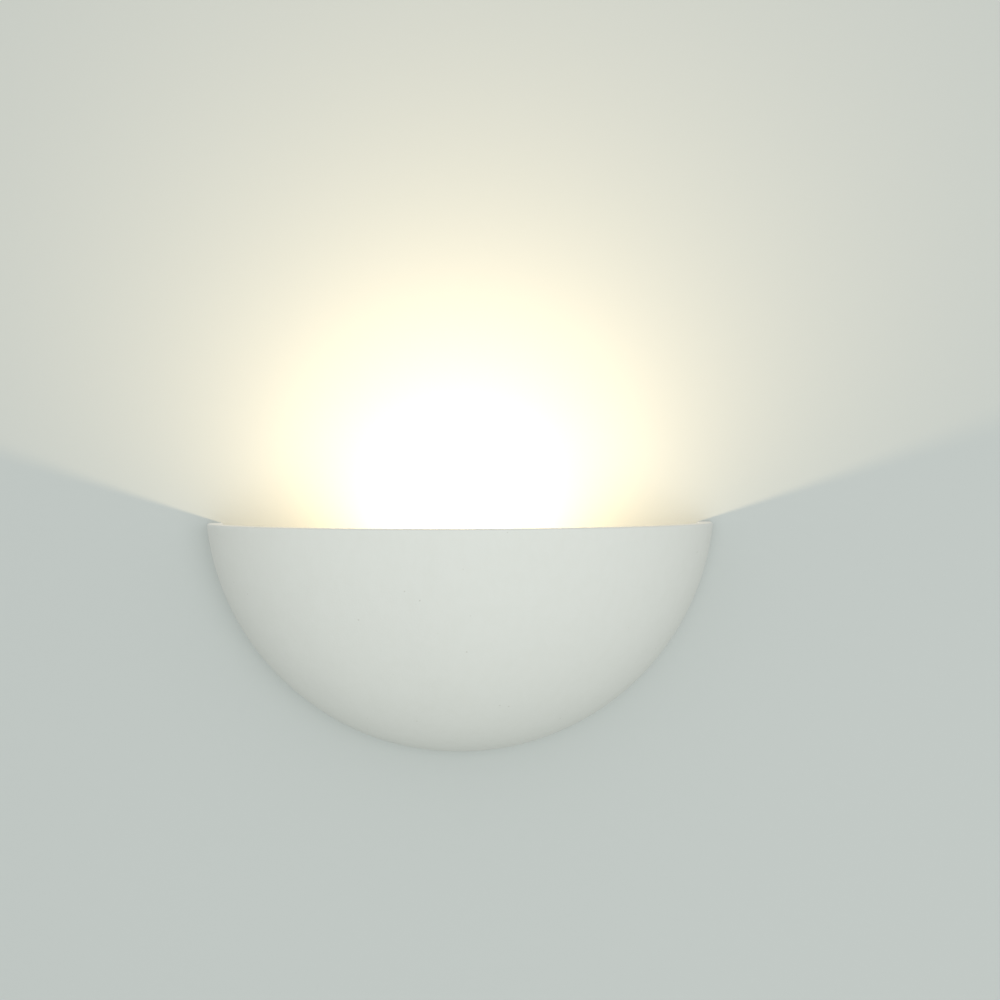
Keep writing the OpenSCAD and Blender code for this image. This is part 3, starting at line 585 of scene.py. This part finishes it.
def makeWasher(node, form):
    place = middle(node)
    place.z = low(node).z
    inner, edge = form["bore"], form["edge"]
    outer, top = (high(node).x - low(node).x) / 2, high(node).z - place.z
    profile = [(inner, edge), (inner + edge, 0), (outer - edge, 0), (outer, edge), (outer, top - edge),
               (outer - edge, top), (inner + edge, top), (inner, top - edge), (inner, edge)]
    turned(node, profile, place, up, zinc)


print("studs and nuts")
makeStuds(studForm)
for side in ("left", "right"):
    makeNut("thumb_nut_" + side, nutForm)
    makeWasher("nut_washer_" + side, washerForm)


# Lampholder on its threaded tube

def onLamp(x):
    return Vector((x, middle("bulb_glass").y, middle("bulb_glass").z))


def alongLamp(node):
    # where a piece begins on the lamp's axis, its radius and its length
    return low(node).x, (high(node).z - low(node).z) / 2, high(node).x - low(node).x


holderForm = {"spigot": 0.01145, "floor": 0.003, "seat": 0.0075, "mouth": 0.0092, "step": 0.0208,
              "edge": 0.0009, "edgeSteps": 5, "grooveAt": 0.0262, "groove": 0.0006}


def makeHolderBody(form):
    # the back of the floor is at 0, and the distances run along the lamp's axis
    start, outer, length = alongLamp("holder_body")
    spigot, floor, seat = form["spigot"], form["floor"], form["seat"]
    edge, deep, cut, mouth = form["edge"], form["groove"], form["grooveAt"], form["mouth"]
    profile = [(0, 0), (spigot - edge / 2, 0), (spigot, edge / 2), (spigot, floor), (outer - edge / 2, floor),
               (outer, floor + edge / 2), (outer, cut), (outer - deep, cut + deep),
               (outer - deep, cut + 2 * deep), (outer, cut + 3 * deep)]
    profile += bend(outer - edge, length - edge, edge, 0, 90, form["edgeSteps"])
    profile += bend(mouth + edge, length - edge, edge, 90, 90, form["edgeSteps"])
    profile += [(mouth, form["step"]), (seat, form["step"]), (seat, floor), (0, floor)]
    turned("holder_body", profile, onLamp(start), right, ceramic)


coverForm = {"bore": 0.00505, "floor": 0.003, "wall": 0.002, "edge": 0.0015, "edgeSteps": 6,
             "chamfer": 0.0003, "gripsAt": (0.35, 0.5, 0.65), "gripHalf": 0.0006, "gripFloor": 0.0002,
             "gripDeep": 0.0004}


def makeHolderCover(form):
    start, outer, length = alongLamp("holder_cover")
    bore, edge, wall, small = form["bore"], form["edge"], form["wall"], form["chamfer"]
    half, flat, deep = form["gripHalf"], form["gripFloor"], form["gripDeep"]
    profile = [(bore, small), (bore + small, 0)]
    profile += bend(outer - edge, edge, edge, -90, 90, form["edgeSteps"])
    for share in form["gripsAt"]:  # moulded grip grooves
        at = length * share
        profile += [(outer, at - half), (outer - deep, at - flat), (outer - deep, at + flat),
                    (outer, at + half)]
    profile += [(outer, length - small), (outer - small, length), (outer - wall, length),
                (outer - wall, form["floor"]), (bore, form["floor"]), (bore, small)]
    turned("holder_cover", profile, onLamp(start), right, creamPlastic)


nippleForm = {"bore": 0.0035, "edge": 0.0005, "pitch": 0.001, "depth": 0.00045, "turnRows": 6,
              "steps": 64, "sharp": 50}


def makeNipple(form):
    start, outer, length = alongLamp("holder_nipple")
    bore, edge, pitch = form["bore"], form["edge"], form["pitch"]
    profile = [(bore, 0), (outer - edge, 0)]
    profile += [(outer, u) for u in rows(edge, length - edge, pitch / form["turnRows"])]
    profile += [(outer - edge, length), (bore, length), (bore, 0)]
    bm = bmesh.new()
    lathe(bm, profile, onLamp(start), right, form["steps"])
    cutThread(bm, onLamp(start), right, outer, edge / 2, length - edge / 2, pitch, form["depth"])
    addPiece(finished(bm, "holder_nipple_form", form["sharp"]), "holder_nipple", brassSide)


print("lampholder")
makeHolderBody(holderForm)
makeHolderCover(coverForm)
makeNipple(nippleForm)


# Rubber grommet

grommetForm = {"bore": 0.004, "groove": 0.007, "lipHigh": 0.0016, "lipRound": 0.0007, "lipSteps": 5,
               "chamfer": 0.0003}


def makeGrommet(form):
    # two soft lips with the plate's edge between them; distances run from the wall outwards
    wall = high("cable_grommet").y
    long = wall - low("cable_grommet").y
    lip = (high("cable_grommet").x - low("cable_grommet").x) / 2
    bore, groove, small = form["bore"], form["groove"], form["chamfer"]
    thick, curve, count = form["lipHigh"], form["lipRound"], form["lipSteps"]
    profile = [(bore, small), (bore + small, 0)] + bend(lip - curve, curve, curve, -90, 90, count)
    profile += [(lip, thick), (groove, thick), (groove, long - thick), (lip, long - thick)]
    profile += bend(lip - curve, long - curve, curve, 0, 90, count)
    profile += [(bore + small, long), (bore, long - small), (bore, small)]
    place = Vector((middle("cable_grommet").x, wall, middle("cable_grommet").z))
    turned("cable_grommet", profile, place, outwards, rubber)


print("grommet")
makeGrommet(grommetForm)


# Bulb

bulbForm = {
    "glass": 0.0008, "globeSteps": 40, "glassSharp": 50, "neckRound": 0.010, "neckGap": 0.0001,
    "capRadius": 0.0069, "capWall": 0.00035, "capEdge": 0.0001, "capSteps": 84, "capSharp": 40,
    "pitch": 0.00282, "depth": 0.0006, "turnRows": 9, "foot": 0.0018, "slope": 0.0012,
    "threadEnd": 0.0151, "flareSteps": 6, "skirt": 0.0085, "skirtLong": 0.005,
    "crimp": (0.0008, 0.0012, 0.0016), "crimpDeep": 0.00012,
}


def bulbOutline(form, radius, inset):
    # from the top of the globe to the end of the neck, as (radius, distance from the globe's middle)
    neck = form["skirt"] - form["capWall"] - form["neckGap"]
    neckRound = form["neckRound"]
    across = neck + neckRound
    drop = math.sqrt((radius + neckRound) ** 2 - across ** 2)
    turn = math.atan2(-drop, across)
    count = form["globeSteps"]
    globe = [math.pi / 2 + (turn - math.pi / 2) * i / count for i in range(count + 1)]
    hollow = [turn + math.pi - turn * i / (count // 2) for i in range(1, count // 2 + 1)]
    end = low("bulb_glass").x - (high("bulb_glass").x - radius)
    outline = [((radius - inset) * math.cos(a), (radius - inset) * math.sin(a)) for a in globe]
    outline += [(across + (neckRound + inset) * math.cos(a), -drop + (neckRound + inset) * math.sin(a))
                for a in hollow]
    outline[0] = (0, outline[0][1])
    return outline + [(neck - inset, end)]


def makeBulbGlass(form):
    radius = alongLamp("bulb_glass")[1]
    profile = bulbOutline(form, radius, 0) + bulbOutline(form, radius, form["glass"])[::-1]
    turned("bulb_glass", profile, onLamp(high("bulb_glass").x - radius), right, opal, form["glassSharp"])


def makeBulbCap(form):
    # distances run from the end of the cap that meets the insulator
    start, length = alongLamp("bulb_cap")[::2]
    r, t, s, slope = form["capRadius"], form["capWall"], form["skirt"], form["slope"]
    foot, edge, count = r - form["foot"], form["capEdge"], form["flareSteps"]
    end, skirt = form["threadEnd"], length - form["skirtLong"]
    first, dip, last = form["crimp"]
    levels = rows(slope, end, form["pitch"] / form["turnRows"])
    profile = [(foot, 0), (r - slope, 0)] + [(r, u) for u in levels]
    profile += [(r + (s - r) * (1 - math.cos(math.pi * i / count)) / 2, end + (skirt - end) * i / count)
                for i in range(1, count + 1)]
    profile += [(s, skirt + first), (s - form["crimpDeep"], skirt + dip), (s, skirt + last),
                (s, length - edge), (s - t / 2, length), (s - t, length - edge), (s - t, skirt + t / 2)]
    profile += [(r - t, u) for u in reversed(levels[1:])]
    profile += [(r - t, slope + t / 2), (r - slope - t / 2, t), (foot, t), (foot, 0)]
    threadStart = max(slope, high("bulb_insulator").x - start)
    bm = bmesh.new()
    lathe(bm, profile, onLamp(start), right, form["capSteps"])
    cutThread(bm, onLamp(start), right, r, threadStart, end, form["pitch"], form["depth"], t)
    addPiece(finished(bm, "bulb_cap_form", form["capSharp"]), "bulb_cap", capMetal)


print("bulb")
makeBulbGlass(bulbForm)
makeBulbCap(bulbForm)


# Wires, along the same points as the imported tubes

wireForm = {"radius": 0.0011, "sides": 16, "steps": 8, "side": (0.3, 1, 0.2), "sharp": 60}


def smoothPath(points, steps):
    path = []
    count = len(points)
    for i in range(count - 1):
        a, b = points[max(i - 1, 0)], points[i]
        c, d = points[i + 1], points[min(i + 2, count - 1)]
        for k in range(steps):
            t = k / steps
            path.append(0.5 * (2 * b + (c - a) * t + (2 * a - 5 * b + 4 * c - d) * t * t
                               + (3 * b - a - 3 * c + d) * t ** 3))
    return path + [points[-1]]


def makeWire(node, points, form, material):
    path = smoothPath([Vector(p) / 1000 for p in points], form["steps"])
    bm = bmesh.new()
    along = bm.loops.layers.uv.new("along")
    bmesh.ops.create_circle(bm, cap_ends=False, radius=form["radius"], segments=form["sides"])
    edges = bm.edges[:]
    verts = bm.verts[:]
    where = {}
    side = Vector(form["side"])
    last = Matrix()
    travelled = 0
    for i, p in enumerate(path):
        heading = (path[min(i + 1, len(path) - 1)] - path[max(i - 1, 0)]).normalized()
        side = (side - heading * side.dot(heading)).normalized()
        spot = Matrix((side, heading.cross(side), heading)).transposed().to_4x4()
        spot.translation = p
        if i:
            travelled += (p - path[i - 1]).length
            made = bmesh.ops.extrude_edge_only(bm, edges=edges)["geom"]
            verts = [g for g in made if isinstance(g, bmesh.types.BMVert)]
            fresh = set(verts)
            edges = [g for g in made if isinstance(g, bmesh.types.BMEdge)
                     and fresh.issuperset(g.verts)]
        bmesh.ops.transform(bm, matrix=spot @ last.inverted(), verts=verts)
        last = spot
        for v in verts:
            flat = spot.inverted() @ v.co
            where[v] = (travelled, math.atan2(flat.y, flat.x) / (2 * math.pi) % 1)
    for face in bm.faces:  # a face across the seam runs on past one turn
        turns = [where[loop.vert][1] for loop in face.loops]
        for loop in face.loops:
            long, turn = where[loop.vert]
            if max(turns) - min(turns) > 0.5 and turn < 0.5:
                turn += 1
            loop[along].uv = (long, turn)
    bmesh.ops.holes_fill(bm, edges=[e for e in bm.edges if e.is_boundary], sides=0)
    bmesh.ops.recalc_face_normals(bm, faces=bm.faces)
    addPiece(finished(bm, node + "_form", form["sharp"]), node, material)


wireForms = {
    "wire_live": (brownCover, [
        (30, -9, 43), (30, -9, 45), (30, -9, 47), (28, -9, 52), (20, -9, 55), (8, -8, 57), (-10, -8, 57),
        (-30, -8, 57), (-50, -8, 56), (-68, -9, 54), (-83, -14, 50), (-92, -24, 44), (-96, -36, 37),
        (-94, -46, 32), (-87, -51, 31.5), (-83, -51.4, 31.3), (-75, -51.4, 31.3), (-71, -51.8, 31.1),
        (-68, -54.6, 30.5), (-66.4, -56, 30), (-65.9, -56, 30), (-65.4, -56, 30)]),
    "wire_neutral": (blueCover, [
        (42, -9, 43), (42, -9, 45), (42, -9, 47), (40, -9, 50), (34, -8, 53.5), (22, -6, 52.5), (8, -5, 53),
        (-10, -5, 53), (-30, -5, 53), (-50, -5, 52), (-66, -6, 50), (-80, -11, 46), (-89, -21, 41),
        (-93, -33, 34), (-91, -43, 29), (-87, -49, 28.5), (-83, -48.6, 28.7), (-75, -48.6, 28.7),
        (-71, -48.2, 28.9), (-68, -45.4, 29.5), (-66.4, -44, 30), (-65.9, -44, 30), (-65.4, -44, 30)]),
    "wire_earth": (earthCover(), [
        (54, -9, 43), (54, -9, 45), (54, -9, 47), (55, -8.5, 51), (58, -7.5, 54), (63, -6, 56),
        (68, -4.8, 56), (71.2, -3.8, 53.5), (72, -3.3, 50.7), (72, -3.3, 48.7), (72, -3.3, 46.7)]),
}
print("wires")
for node, (cover, points) in wireForms.items():
    makeWire(node, points, wireForm, cover)


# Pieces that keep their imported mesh

kept = {"holder_sleeve": brassStrip, "holder_contact": brassStrip, "holder_terminals": brassStrip,
        "bulb_insulator": blackGlass, "bulb_contact": solder, "bulb_stem": glass,
        "bulb_filament": filamentWire, "wire_ends": copper}
for node, material in kept.items():
    for slot in frame["nodes"][node].material_slots:
        slot.material = material


# Stage

stageForm = {"floorZ": -1.35, "reach": 7.0, "floor": (0.62, 0.64, 0.62), "floorDark": (0.60, 0.62, 0.60),
             "floorPale": (0.63, 0.65, 0.63), "wallY": 0.0001, "wallHigh": 3.0,
             "wall": (0.555, 0.59, 0.572)}


def stagePlane(name, tint, size, matrix):
    bm = bmesh.new()
    bmesh.ops.create_grid(bm, x_segments=1, y_segments=1, size=size, matrix=matrix)
    mesh = meshOf(bm, name)
    mesh.materials.append(tint.material)
    plane = bpy.data.objects.new(name, mesh)
    scene.collection.objects.link(plane)
    return plane


def makeFloor(form):
    tint = Finish("pale_floor", form["floor"], 0.9)
    tint.set("Base Color", tint.ramp(tint.noise(3, 3), (0.3, form["floorDark"]), (0.7, form["floorPale"])))
    stagePlane("floor", tint, form["reach"], Matrix.Translation((0, 0, form["floorZ"])))


def makeWall(form):
    # it is not there from behind, and only the camera sees it
    tint = Finish("pale_wall", form["wall"], 0.95)
    tint.set("Specular IOR Level", 0.1)
    nodes, links = tint.nodes, tint.links
    mix = nodes.new("ShaderNodeMixShader")
    links.new(nodes.new("ShaderNodeNewGeometry").outputs["Backfacing"], mix.inputs["Fac"])
    links.new(tint.shader.outputs["BSDF"], mix.inputs[1])
    links.new(nodes.new("ShaderNodeBsdfTransparent").outputs["BSDF"], mix.inputs[2])
    links.new(mix.outputs["Shader"], nodes["Material Output"].inputs["Surface"])
    place = Matrix.Translation((0, form["wallY"], 0)) @ Matrix.Rotation(math.pi / 2, 4, "X")
    wall = stagePlane("wall", tint, form["wallHigh"], place)
    wall.visible_shadow = False
    wall.visible_diffuse = False
    wall.visible_glossy = False
    wall.visible_transmission = False
    return wall


# Lamps

def areaLamp(name, place, target, size, energy, color=(1, 1, 1)):
    data = bpy.data.lights.new(name, "AREA")
    data.shape = "RECTANGLE"
    data.size, data.size_y = size
    data.energy = energy
    data.color = color
    lamp = bpy.data.objects.new(name, data)
    lamp.location = place
    lamp.rotation_euler = (Vector(target) - Vector(place)).to_track_quat("-Z", "Y").to_euler()
    scene.collection.objects.link(lamp)
    return lamp


def fadeSlowly(lamp):
    # the light falls off with distance and not with its square, as a camera's soft shoulder shows it
    lamp.data.use_nodes = True
    tree = lamp.data.node_tree
    falloff = tree.nodes.new("ShaderNodeLightFalloff")
    falloff.inputs["Strength"].default_value = 1.0
    tree.links.new(falloff.outputs["Linear"], tree.nodes["Emission"].inputs["Strength"])


def collectionOf(name, piece):
    made = bpy.data.collections.new(name)
    made.objects.link(piece)
    return made


glowForm = {"bulb": 0.0225, "energy": 7.4, "color": (1.0, 0.745, 0.43)}


def wallGlow(wall, shade, form):
    # the pool of warm light on the stage wall; this lamp lights nothing else
    centre = onLamp(high("bulb_glass").x - form["bulb"])
    size = (2 * form["bulb"], 2 * form["bulb"])
    lamp = areaLamp("bulb_glow", centre, centre + up, size, form["energy"], form["color"])
    lamp.data.shape = "DISK"
    fadeSlowly(lamp)
    lamp.light_linking.receiver_collection = collectionOf("glow_receivers", wall)
    lamp.light_linking.blocker_collection = collectionOf("glow_blockers", shade)


rimForm = {"place": (0, -0.004, 0.125), "target": (0, -0.07, 0.07), "size": (0.24, 0.06), "energy": 0.11,
           "color": (1.0, 0.75, 0.46)}


def rimGlow(shade, form):
    # what the bright wall sends back onto the rim
    lamp = areaLamp("rim_glow", **form)
    lamp.light_linking.receiver_collection = collectionOf("rim_receivers", shade)


studioForm = {
    "front_soft": {"place": (0.2, -1.8, -0.1), "target": (0, -0.04, 0), "size": (1.8, 1.4), "energy": 15},
    "back_soft": {"place": (-0.6, 2.6, 0.35), "target": (0, 0, 0), "size": (1.6, 0.9), "energy": 9},
}
worldForm = {"light": (0.98, 1.0, 0.99, 1), "strength": 0.70, "shown": (0.66, 0.68, 0.665, 1)}


def makeWorld(form):
    # the camera sees a plain grey, and the pieces are lit by a paler one
    world = bpy.data.worlds.new("soft_world")
    scene.world = world
    world.use_nodes = True
    nodes, links = world.node_tree.nodes, world.node_tree.links
    light = nodes["Background"]
    light.inputs["Color"].default_value = form["light"]
    light.inputs["Strength"].default_value = form["strength"]
    shown = nodes.new("ShaderNodeBackground")
    shown.inputs["Color"].default_value = form["shown"]
    path = nodes.new("ShaderNodeLightPath")
    mix = nodes.new("ShaderNodeMixShader")
    links.new(path.outputs["Is Camera Ray"], mix.inputs["Fac"])
    links.new(light.outputs["Background"], mix.inputs[1])
    links.new(shown.outputs["Background"], mix.inputs[2])
    links.new(mix.outputs["Shader"], nodes["World Output"].inputs["Surface"])


# Camera

cameraForm = {"lens": 58.4, "sensor": 36, "away": 1.0, "height": 0.109, "roll": -0.17, "shiftX": 0.0403,
              "shiftY": -0.033}


def makeCamera(form):
    data = bpy.data.cameras.new("camera")
    data.lens = form["lens"]
    data.sensor_width = form["sensor"]
    data.shift_x = form["shiftX"]
    data.shift_y = form["shiftY"]
    camera = bpy.data.objects.new("camera", data)
    turn = Matrix.Rotation(math.pi / 2, 4, "X") @ Matrix.Rotation(math.radians(form["roll"]), 4, "Z")
    camera.matrix_world = Matrix.Translation((0, -form["away"], form["height"])) @ turn
    scene.collection.objects.link(camera)
    scene.camera = camera


print("stage, lamps and camera")
makeFloor(stageForm)
wall = makeWall(stageForm)
wallGlow(wall, shade, glowForm)
rimGlow(shade, rimForm)
for name, form in studioForm.items():
    areaLamp(name, **form)
makeWorld(worldForm)
makeCamera(cameraForm)
scene.view_settings.view_transform = "Standard"
